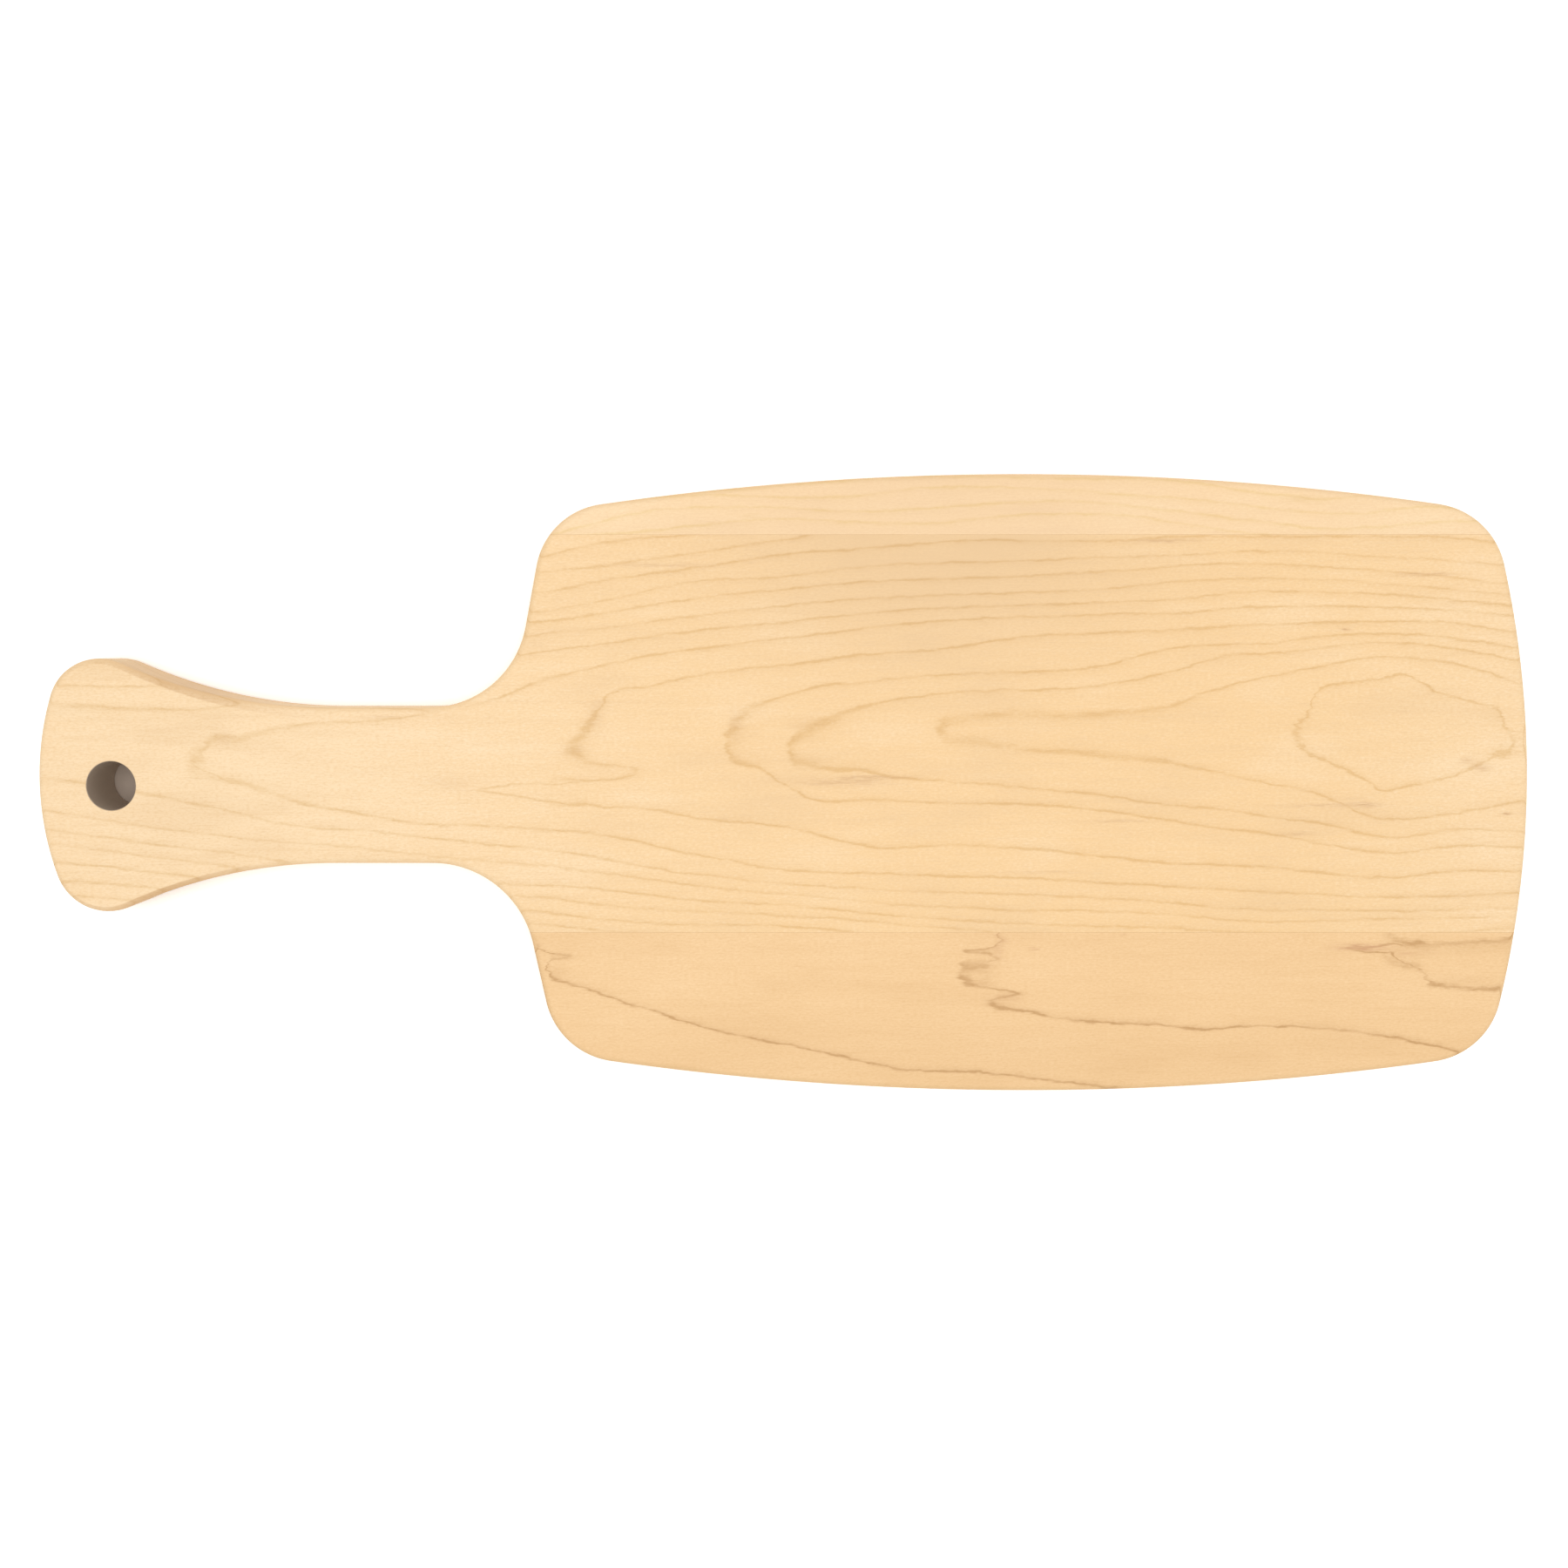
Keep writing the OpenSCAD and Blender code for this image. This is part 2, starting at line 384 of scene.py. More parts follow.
def newMaterial(name):              # with its tree and its shader
    material = bpy.data.materials.new(name)
    material.use_nodes = True
    return material, material.node_tree, material.node_tree.nodes["Principled BSDF"]


def linear(red, green, blue):       # a colour as a picture shows it, 0 to 255, turned into light
    share = np.array([red, green, blue]) / 255
    light = np.where(share <= 0.04045, share / 12.92, ((share + 0.055) / 1.055) ** 2.4)
    return (*[float(v) for v in light], 1.0)


# Growth rings, in millimetres. The tree's heart runs along each stave, "depth" below the top face. A ring
# shows there as an upper and a lower line that meet in a nose, so a ring is its strength and its places
# (x, y of the upper line, y of the lower line). Where a line is beyond the stave its place is a fair guess.
# A bump (x, y, length, width, rise) pushes the wood outside the ring into it. A fade (x, y, length, width,
# share) lets a line die out, a soft place (x, y, length, width, rise) spreads it, and "ragged" tears it.
# A stroke (strength, places) is a single line and a mark (x, y, length, width, strength) a brown streak,
# both near the top face. The rings nearest to the heart only show on the underside: their radii are the
# course "inner" and then "step" less each, round "middle".

centreGrain = {
    "depth": [
        (-224, 63.6), (-182, 61.5), (-122, 58.1), (-90, 57.0), (-66, 56.4), (-53, 55.5), (-26, 51.8),
        (0, 48.8), (27, 47.4), (54, 46.6), (96, 46.0), (134, 45.0), (157, 43.9), (187, 42.0),
        (224, 42.0)],
    "inner": [(-60, 15.5), (149, 39.5), (190, 40.5), (224, 40.0)],
    "step": 3.7, "innerRings": 5, "middle": 15,
    "rings": [
        {"strength": 1.15, "ragged": 1.3, "places": [
            (157, 17, 15), (160.5, 23, 10), (163, 28.5, 9), (170, 31, 6), (178, 32, 2.5),
            (183, 32.5, -1), (189, 34, -0.5), (194, 31.5, 1), (200, 28, 2.5), (206, 26, 4.5),
            (213, 24, 7.5), (218.3, 22.2, 10.2), (220.6, 17, 10.9), (227, 15.2, 11.6)]},
        {"strength": 0.9, "places": [
            (49, 18, 16.5), (51, 19.3, 15), (58, 20, 14.4), (75, 22, 11.5), (96, 22, 9.6),
            (118, 25, 6.8), (134, 30, 4), (150, 34.3, 0.4), (166, 37, -3.4), (183, 39.2, -10),
            (203, 37, -8.2), (214, 34.5, -6.3), (223, 31.6, -5.3)]},
        {"strength": 1.0, "places": [
            (3, 11.8, 10.6), (6, 14, 9.2), (9, 16.3, 8), (15.5, 20, 6), (25, 24.4, 4.6), (32, 26, 3),
            (54, 28.6, 1.2), (75, 29.4, -0.7), (96, 30.8, -2.6), (118, 35, -6), (134, 39.6, -7.2),
            (150, 40.7, -9.8), (166, 42.5, -11.7), (187, 43.6, -16), (203, 41.7, -13.3),
            (223, 38.5, -13.8)],
         "soft": [(13, 18, 10, 5, 1.0)]},
        {"strength": 1.0, "places": [
            (-16.3, 13.5, 12), (-14.3, 17.5, 9.5), (-12, 21.5, 8), (-6, 24.8, 5.5), (3, 28, -1),
            (11, 30, -4), (27, 32, -4.2), (54, 34.3, -5.5), (75, 35, -5.8), (96, 36.4, -7.4),
            (118, 42.3, -10.6), (134, 43.3, -13.3), (150, 43.9, -15), (166, 46, -17.8),
            (187, 46.3, -20.7), (203, 44.7, -18.3), (223, 42, -18.6)],
         "soft": [(-12, 19, 7, 6, 2.0)]},
        {"strength": 1.0, "places": [
            (-72, 3, -5.3), (-67.5, 10, -5.6), (-61, 16.5, -6.1), (-57.5, 22, -6.3), (-54, 27.2, -6.5),
            (-40, 31, -7.4), (-26, 33.7, -10), (0, 37.2, -12.5), (27, 40.4, -18.6), (54, 42.5, -18.3),
            (75, 45.7, -19.1), (96, 46.8, -21.5), (118, 47.9, -23.7), (150, 49.5, -25.3),
            (187, 50.3, -28.2), (203, 49.5, -26.3), (223, 46.5, -26)],
         "bumps": [(-54, 4.4, 11, 2.4, 5), (-65, 8, 5, 3, 0.9)],
         "fades": [(-74, -1.5, 6.5, 3.0, 1.0), (-68, -4.0, 6, 2.0, 0.9)],
         "soft": [(-60, 17, 6, 9, 3.4)]},
        {"strength": 1.0, "places": [
            (-181, 7.6, 6.4), (-177.5, 10.8, 4.4), (-175.5, 13.8, 3.2), (-166, 14.8, 1),
            (-158.5, 16.6, -1.5), (-146.5, 18.5, -5.2), (-128, 19.6, -8.7), (-110, 21.5, -11.3),
            (-90, 26, -12.2), (-74, 32.4, -13.8), (-53, 37.2, -15.7), (-26, 42, -21.3), (0, 45, -25.8),
            (27, 48.4, -27), (75, 51.6, -28.5), (118, 53, -31), (150, 54.8, -33), (187, 54.5, -34.3),
            (223, 52, -33.3)],
         "fades": [(-102, 22, 11, 7, 1.0)]},
        {"strength": 0.8, "places": [
            (-223, 25.2, 2.2), (-195, 23.7, -2.9), (-169, 24.5, -8), (-151, 28, -12), (-122, 31, -14.3),
            (-90, 37, -18), (-74, 41, -19.7), (-53, 43.6, -23), (-26, 47.6, -27.4), (0, 50, -30),
            (27, 53, -32), (75, 55.3, -33.5), (118, 57, -36), (142, 59.2, -38), (166, 59, -38.3),
            (203, 56.7, -37.8), (223, 55, -37.8)]},
        {"strength": 0.7, "places": [
            (-223, 31, -8.2), (-195, 30.5, -12.5), (-169, 32, -15.7), (-122, 36, -20), (-90, 43, -23.4),
            (-74, 46.5, -24.7), (-53, 48.4, -27), (-26, 52, -31), (0, 54.8, -33.3), (27, 57.2, -36),
            (75, 59, -38.3), (96, 60, -38.6), (118, 62.3, -39.7), (142, 63.4, -41.8),
            (166, 62.8, -41.8), (187, 61.2, -41), (223, 58, -40.5)]},
        {"strength": 0.8, "places": [
            (-223, 38, -14), (-195, 38, -17.8), (-169, 41, -21), (-74, 50.3, -30.6), (-53, 53, -32.2),
            (-26, 57.2, -35.4), (0, 60, -36.7), (27, 62.3, -39.4), (75, 64, -42.6), (118, 66.8, -44),
            (134, 67.6, -45), (166, 66.5, -46), (203, 63.3, -45), (223, 61.5, -44)]},
        {"strength": 0.7, "places": [
            (-223, 42, -18), (-182, 43, -23.4), (-74, 53.5, -34.6), (-53, 57, -37), (-26, 62.3, -38.6),
            (0, 64, -40), (27, 67, -41.8), (75, 68.7, -46), (118, 70.3, -48), (150, 71.3, -49),
            (187, 69.5, -49), (223, 67, -48)]},
        {"strength": 0.9, "places": [
            (-223, 47, -23.7), (-182, 48, -28), (-74, 59.3, -39), (-53, 63, -41.5), (-26, 66.5, -43),
            (0, 70.5, -43.4), (27, 72.4, -46), (54, 74.8, -50), (96, 74.6, -52), (118, 75.8, -53),
            (187, 76, -53), (203, 75.4, -53), (223, 73, -52)]},
        {"strength": 0.8, "places": [
            (-223, 53, -29.3), (-182, 55, -32.3), (-74, 65.2, -42.6), (-53, 67.3, -45),
            (-26, 71.3, -48), (0, 75, -52), (27, 80, -56), (223, 84, -60)]},
        {"strength": 0.7, "places": [
            (-223, 58, -33.6), (-182, 60, -37), (-74, 70, -46), (-53, 74.3, -48), (-26, 76.6, -52),
            (0, 80, -56), (223, 88, -64)]},
    ],
    "strokes": [
        (0.8, [(-94, -1.2), (-82, 0.6), (-68, 0.7), (-62, 1.2)]),
        (0.9, [(-94, -1.4), (-82, -3.0), (-72, -4.8), (-66, -5.8), (-60, -6.3)]),
        (1.7, [(-182, 7.2), (-179, 5.7), (-173, 3.0), (-168, 0.9)]),
    ],
    "marks": [
        (18, 1.2, 14, 1.3, 0.55), (28, 2.6, 10, 0.7, 0.6), (194, 64.4, 9, 0.6, 0.6),
        (115, 74.6, 10, 0.6, 0.55), (-36, 67.3, 14, 0.6, 0.4), (171.5, 48.0, 1.5, 0.4, 1.0),
        (222, -8.3, 1.6, 0.4, 1.0), (6, 19.5, 6, 2.0, 0.2), (-14.5, 18.5, 2.2, 5.0, 0.3),
        (-171, 15.0, 3, 2.2, 0.2), (-120, 21.0, 9, 0.6, 0.3), (-57.5, 22, 2.6, 5, 0.25),
        (-64, 11, 3.5, 2.2, 0.22), (-104, 1.0, 9, 2.0, 0.15), (164, -6, 14, 0.6, 0.4),
        (178, -6, 4, 0.9, 0.6), (103, -10.8, 10, 0.5, 0.4), (80, -26.6, 12, 0.5, 0.35),
        (157, -14.9, 8, 0.5, 0.35), (213.5, 5.6, 3, 1.5, 0.55), (209, 7.8, 2, 0.9, 0.5),
        (-60, 25.8, 28, 0.5, 0.15)],
}
lowerGrain = {
    "depth": [
        (-75, 61.0), (-33, 59.0), (-10, 57.2), (22, 54.5), (51, 52.4), (80, 50.4), (105, 49.5),
        (157, 47.6), (172, 47.0), (200, 45.8), (223, 45.3)],
    "inner": [(-60, 13.5), (178, 40.5), (224, 40.5)],
    "step": 6, "innerRings": 3, "middle": -52,
    "rings": [
        {"strength": 1.0, "places": [
            (-80, -20, -50.4), (-74, -22, -50.8), (-72.3, -24, -57.4), (-69.5, -28, -60.2),
            (-64, -32, -62), (-55.5, -33, -65.3), (-46.7, -33, -68.5), (-39.5, -31, -70),
            (-29, -28, -73.3), (-10, -23, -78), (7, -20, -81.3), (23, -16, -85), (36, -13, -88),
            (51, -12, -88.5), (73, -11, -90), (91, -9, -92.3), (120, -7, -95)],
         "bumps": [(-71, -52.7, 7, 1.1, 2.6)],
         "soft": [(-71, -57, 5, 5, 1.5)]},
        {"strength": 1.0, "places": [
            (56, -57.6, -59.2), (58, -56.6, -61), (61, -55, -64), (64, -53, -67), (66.5, -46, -68.4),
            (70, -36, -69), (76, -32, -70), (85, -30, -72), (102, -28, -73.3), (117, -28, -74),
            (131, -26, -75.7), (138, -27, -74.8), (165, -27, -75), (187, -24, -77.6), (206, -20, -81.6),
            (223, -16, -85)],
         "bumps": [(62, -64.3, 12, 1.2, 3.2), (64, -50.9, 10, 0.7, -1.1), (66, -53.2, 5, 0.7, 0.8)],
         "fades": [(57.5, -52.5, 5, 3.6, 0.5)],
         "soft": [(64, -56, 7, 12, 1.4)]},
        {"strength": 1.15, "ragged": 0.5, "places": [
            (186, -48.8, -51), (191.5, -49.4, -53.8), (197, -49.4, -56.4), (198.8, -49.3, -60.2),
            (204, -48.9, -61.6), (218, -48.2, -62.6), (224, -47.6, -63)],
         "fades": [(185.5, -49.5, 3.5, 4.5, 1.0)]},
    ],
    "strokes": [
        (0.9, [(172, -49.9), (180, -49.6), (185, -48.8), (191, -49.4)]),
        (1.0, [(172, -50.1), (180, -51.4), (187, -51.7)]),
        (1.9, [(187, -51.6), (191.5, -54.2), (196, -56.0)]),
    ],
    "marks": [
        (177.5, -49.8, 7, 1.0, 1.6), (66.5, -49.5, 2.2, 4, 0.45), (69, -66, 4.5, 1.6, 0.25),
        (77, -50.4, 1.2, 0.6, 0.6), (104, -45.9, 1.0, 0.6, 0.5), (193, -51.5, 6, 1.2, 0.4)],
}
upperGrain = {
    "depth": [(-80, 0.0), (223, 0.0)],
    "rings": [
        {"strength": 0.9, "places": [
            (-6, 90.8, -91), (11, 92.2, -92), (42, 94, -94), (80, 93.5, -94), (120, 92.7, -93),
            (142, 89.5, -90), (156, 88.2, -88), (163, 87.4, -87), (174, 88.2, -88), (190, 89, -89)]},
        {"strength": 0.9, "places": [
            (-60, 87, -87), (-27, 88.2, -88), (24, 88.2, -88), (42, 90.6, -91), (67, 90.8, -91),
            (94, 89.5, -90), (120, 87.4, -87), (142, 85.2, -85), (160, 83.4, -83), (174, 82.8, -83),
            (191, 84.7, -85), (209, 84.2, -84)]},
        {"strength": 1.0, "places": [
            (-57, 80, -80), (-42, 83.4, -83), (-20, 84.7, -85), (7, 84.2, -84), (24, 83.4, -83),
            (42, 84.2, -84), (56, 85.5, -86), (89, 86.6, -87), (116, 84, -84), (147, 80.2, -80),
            (160, 78.6, -79), (178, 78.8, -79), (196, 80.2, -80), (214, 80.7, -81)]},
        {"strength": 1.0, "places": [
            (-32, 78.6, -79), (-15, 80.4, -80), (2, 81.2, -81), (24, 80.2, -80), (46, 80, -80),
            (60, 81.5, -82), (89, 82.8, -83), (111, 81.5, -82), (129, 78.6, -79), (150, 76, -76),
            (223, 72, -72)]},
    ],
    "marks": [(158, 87.4, 6, 1.0, 0.6), (-10, 82.0, 3, 0.7, 0.4)],
}


lineShape = {
    "steep": 0.27, "flat": 0.05, "softest": 3.5,    # a line is crisp on a steep slope, softest on a flat one
    "tailInwards": 4.0, "tailOutwards": 1.6, "tailTurn": 0.5,       # its faint tail, in widths of the core
    "coreShare": 0.75, "tailShare": 0.25, "softStrength": 0.75,
}


def buildGrowthLine(s):
    # How dark a ring is at a place. Its distance is the place's own radius from the heart less the ring's,
    # divided by how fast that changes across and along the face. Where it changes slowly, at the nose, the
    # line is a wide soft band. The core is exp(-(distance / width)^2), and a faint tail reaches inwards.
    group, given, result = newGroup(
        "growthLine", floats("Across", "Below", "Radius", "Steepness", "Push", "Fray", "Width", "Strength"),
        floats("Line"))
    here = hypotenuse(group, given["Across"], given["Below"])
    apart = total(group, calc(group, "SUBTRACT", here, given["Radius"]), given["Push"])
    slope = hypotenuse(group, calc(group, "DIVIDE", given["Across"], here), given["Steepness"])
    soft = ramp(group, slope, s["steep"], s["flat"], 1.0, s["softest"])
    distance = calc(group, "MULTIPLY_ADD", given["Fray"], soft, calc(group, "DIVIDE", apart, slope))
    share = calc(group, "DIVIDE", distance, calc(group, "MULTIPLY", given["Width"], soft))
    reach = ramp(group, share, -s["tailTurn"], s["tailTurn"], s["tailInwards"], s["tailOutwards"])
    core = calc(group, "MULTIPLY", bell(group, share), s["coreShare"])
    tail = calc(group, "MULTIPLY", bell(group, calc(group, "DIVIDE", share, reach)), s["tailShare"])
    strength = ramp(group, soft, 1.0, s["softest"], 1.0, s["softStrength"])
    strength = calc(group, "MULTIPLY", given["Strength"], strength)
    plug(group, calc(group, "MULTIPLY", calc(group, "ADD", core, tail), strength), result["Line"])
    return group


def buildSoftSpot():
    # exp(-((x - centre x) / length)^2 - ((y - centre y) / width)^2)
    group, given, result = newGroup(
        "softSpot", floats("X", "Y", "Centre X", "Centre Y", "Length", "Width", "Rise"), floats("Height"))
    along = calc(group, "DIVIDE", calc(group, "SUBTRACT", given["X"], given["Centre X"]), given["Length"])
    across = calc(group, "DIVIDE", calc(group, "SUBTRACT", given["Y"], given["Centre Y"]), given["Width"])
    square = total(group, calc(group, "MULTIPLY", along, along), calc(group, "MULTIPLY", across, across))
    fall = calc(group, "EXPONENT", calc(group, "MULTIPLY", square, -1.0))
    plug(group, calc(group, "MULTIPLY", fall, given["Rise"]), result["Height"])
    return group


growthLine = buildGrowthLine(lineShape)
softSpot = buildSoftSpot()


def spot(tree, x, y, place):
    values = dict(zip(("Centre X", "Centre Y", "Length", "Width", "Rise"), place))
    return useGroup(tree, softSpot, X=x, Y=y, **values)["Height"]


def courseAt(points, x):            # a course's height between its two nearest places
    places, heights = zip(*points)
    return float(np.interp(x, places, heights))


growth = {                              # millimetres, apart from the shares
    "narrowStart": 4,                   # a ring that starts narrower than this closes in a nose there
    "noseRun": 8, "noseSink": 0.9,      # and so far past it, it is this much below the face
    "levelFrom": 3, "levelTo": 12,      # before a wider start, its middle line is level between these
    "leastSteepness": 0.015, "innerSteepness": 0.11,
    "innerSway": 6.0,                   # how far the rings near the heart wander
    "bumpWidening": 0.45,               # share of a bump's rise by which it widens the line
    "strokeEnd": 2,                     # how far a stroke takes to die out at each end
    "shallow": (6, 2),                  # strokes and marks come in between these depths below the face
    "uneven": (0.32, 0.7, 0.45, 1.45),  # noise from and to, and the line's strength at each
    "grainy": (-0.12, 0.12, 0.35, 1.1),     # the same for the marks
}
ringNoise = {       # waves along, across and through the wood, detail and roughness
    "sway": ((0.04, 0.12, 0.12), 1.0, 0.5),
    "ruffle": ((0.22, 0.35, 0.35), 2.0, 0.55),
    "tear": ((0.06, 0.6, 0.6), 2.0, 0.55),
    "fibre": ((0.22, 2.6, 2.6), 3.0, 0.6),
    "uneven": ((0.08, 0.35, 0.35), 3.0, 0.6),
    "jag": ((0.35, 1.1, 1.1), 2.0, 0.6),
}


def ringCourses(places, depth, s):
    # Middle line and radius of a ring along the board, and how fast the radius leaves the depth there.
    # Past its nose the ring sinks below the face.
    middle = [(x, (upper + lower) / 2) for x, upper, lower in places]
    radius = [(x, math.hypot((upper - lower) / 2, courseAt(depth, x))) for x, upper, lower in places]
    (x, start), (nextX, following) = middle[:2]
    if places[0][1] - places[0][2] < s["narrowStart"]:
        middle.insert(0, (x - s["noseRun"], start))
        radius.insert(0, (x - s["noseRun"], courseAt(depth, x) - s["noseSink"]))
    else:
        level = start - s["levelFrom"] * (following - start) / (nextX - x)
        middle[:0] = [(x - s["levelTo"], level), (x - s["levelFrom"], level)]
    spread = [(x, r - courseAt(depth, x)) for x, r in radius]
    steepness = []
    for before, here, after in zip(spread[:1] + spread, spread, spread[1:] + spread[-1:]):
        rise = abs((after[1] - before[1]) / (after[0] - before[0]))
        steepness.append((here[0], max(s["leastSteepness"], rise)))
    return middle, radius, steepness


def ringLine(group, wood, ring, depth, width):
    # A ring of the plan, with its bumps, soft places and fades
    x, y = wood["x"], wood["y"]
    middle, radius, steepness = ringCourses(ring["places"], depth, growth)
    push, strength = 0.0, calc(group, "MULTIPLY", wood["uneven"], ring["strength"])
    for bump in ring.get("bumps", []):          # a bump's own slope would thin the line
        rise = spot(group, x, y, bump)
        push = calc(group, "ADD", push, rise)
        width = calc(group, "MULTIPLY_ADD", calc(group, "ABSOLUTE", rise), growth["bumpWidening"], width)
    for place in ring.get("soft", []):
        width = calc(group, "MULTIPLY", width, calc(group, "ADD", spot(group, x, y, place), 1.0))
    for fade in ring.get("fades", []):
        kept = calc(group, "SUBTRACT", 1.0, spot(group, x, y, fade))
        strength = calc(group, "MULTIPLY", strength, kept)
    line = useGroup(
        group, growthLine, Across=calc(group, "SUBTRACT", y, courseCurve(group, x, middle)),
        Below=wood["below"], Radius=courseCurve(group, x, radius),
        Steepness=courseCurve(group, x, steepness), Push=push,
        Fray=calc(group, "MULTIPLY_ADD", wood["jag"], ring.get("ragged", 0.0), wood["fray"]),
        Width=width, Strength=strength)
    return line["Line"]


def innerLine(group, wood, plan, smaller, width):
    # A ring near the heart, its radius so much smaller than the course
    wander = calc(group, "MULTIPLY_ADD", wood["sway"], growth["innerSway"], plan["middle"])
    radius = calc(group, "SUBTRACT", courseCurve(group, wood["x"], plan["inner"]), smaller)
    line = useGroup(
        group, growthLine, Across=calc(group, "SUBTRACT", wood["y"], wander), Below=wood["below"],
        Radius=radius, Steepness=growth["innerSteepness"], Push=wood["ruffle"], Fray=wood["fray"],
        Width=width, Strength=wood["uneven"])
    return line["Line"]


def strokeLine(group, wood, strength, places, width):
    # exp(-(distance across / width)^2), between the stroke's two ends
    x, end = wood["x"], growth["strokeEnd"]
    first, last = places[0][0], places[-1][0]
    apart = calc(group, "SUBTRACT", wood["y"], courseCurve(group, x, places))
    core = bell(group, calc(group, "DIVIDE", calc(group, "ADD", apart, wood["fray"]), width))
    started = ramp(group, x, first - end, first + end)
    within = calc(group, "MULTIPLY", started, ramp(group, x, last + end, last - end))
    within = calc(group, "MULTIPLY", within, wood["shallow"])
    core = calc(group, "MULTIPLY", calc(group, "MULTIPLY", core, within), strength)
    return calc(group, "MULTIPLY", core, wood["uneven"])


def buildGrain(name, plan, f):
    # Position in millimetres goes in, and the darkness of the rings and of the marks comes out. Noise
    # sways the lines, ruffles them and tears their steep stretches into short points along the grain.
    group, given, result = newGroup(name, [("Position", "Vector")], floats("Line", "Mark"))
    position = given["Position"]
    x, y, z = axes(group, position)
    sway = swing(group, position, ringNoise["sway"])
    ruffle = swing(group, position, ringNoise["ruffle"])
    tear = swing(group, position, ringNoise["tear"])
    fibre = swing(group, position, ringNoise["fibre"])
    x = calc(group, "MULTIPLY_ADD", tear, f["tear"], x)
    swayed = calc(group, "MULTIPLY", sway, f["sway"])
    y = total(group, y, swayed, calc(group, "MULTIPLY", ruffle, f["ruffle"]))
    deepest, shallowest = growth["shallow"]
    wood = {
        "x": x, "y": y, "sway": sway, "ruffle": ruffle,
        "below": total(group, courseCurve(group, x, plan["depth"]), z, -thickness),
        "uneven": ramp(group, noise(group, position, *ringNoise["uneven"]), *growth["uneven"]),
        "fray": calc(group, "MULTIPLY", fibre, f["fray"]),
        "jag": swing(group, position, ringNoise["jag"]),
        "shallow": ramp(group, z, thickness - deepest, thickness - shallowest),
    }
    lines = [ringLine(group, wood, ring, plan["depth"], f["lineWidth"]) for ring in plan["rings"]]
    for count in range(plan.get("innerRings", 0)):
        lines.append(innerLine(group, wood, plan, count * plan["step"], f["lineWidth"]))
    for strength, places in plan.get("strokes", []):
        lines.append(strokeLine(group, wood, strength, places, f["lineWidth"]))
    darkest = 0.0
    for line in lines:
        darkest = calc(group, "MAXIMUM", darkest, line)
    plug(group, darkest, result["Line"])
    marks = total(group, *[spot(group, x, y, place) for place in plan["marks"]])
    grainy = calc(group, "MULTIPLY", ramp(group, fibre, *growth["grainy"]), wood["shallow"])
    plug(group, calc(group, "MULTIPLY", marks, grainy), result["Mark"])
    return group


woodNoise = {       # waves along, across and through the wood, detail and roughness
    "fibre": ((0.14, 3.0, 3.0), 3.0, 0.6),
    "fleck": ((0.5, 2.4, 2.4), 2.0, 0.55),
    "streak": ((0.03, 0.55, 0.55), 3.0, 0.55),
    "cloud": ((0.022, 0.07, 0.07), 2.0, 0.5),
    "mottle": ((0.85, 2.0, 2.0), 2.0, 0.6),
    "pores": ((1.6, 1.9, 1.9), 2.0, 0.7),
}
tones = {           # a noise or a facing from and to, and the share of the tone at each
    "paleCloud": (0.5, 0.75, 0.0, 0.3), "deepCloud": (0.5, 0.25, 0.0, 0.3),
    "paleMottle": (0.45, 0.75, 0.0, 0.42), "deepMottle": (0.55, 0.25, 0.0, 0.42),
    "paleStreak": (0.5, 0.7, 0.0, 0.12), "deepStreak": (0.5, 0.3, 0.0, 0.15),
    "paleFleck": (0.52, 0.72), "deepFibre": (0.48, 0.3), "pores": (0.35, 0.65),
    "edge": (0.97, 0.55, 0.0, 0.8), "endGrain": (0.4, 0.95),
    "roundedOff": (0.9995, 0.96), "wall": (0.0, 0.5, 0.75, 0.9),
}
surface = {
    "evenFleck": 0.5,                   # share of the flecks that shows where the wood isn't paler
    "deeperLine": 0.2,                  # how much darker a line is in a deeper place
    # colour multiplied in as painted shade on the flares' rounded-over edges
    "edgeShadeColour": (214, 194, 170),
    "roughness": 0.46, "fibreRoughness": 0.12, "lineRoughness": 0.06,
    "fibreHeight": 0.6, "fleckHeight": 0.4,
    "specular": 0.25, "bumpStrength": 0.25, "bumpDistance": 0.05,       # the distance in millimetres
}


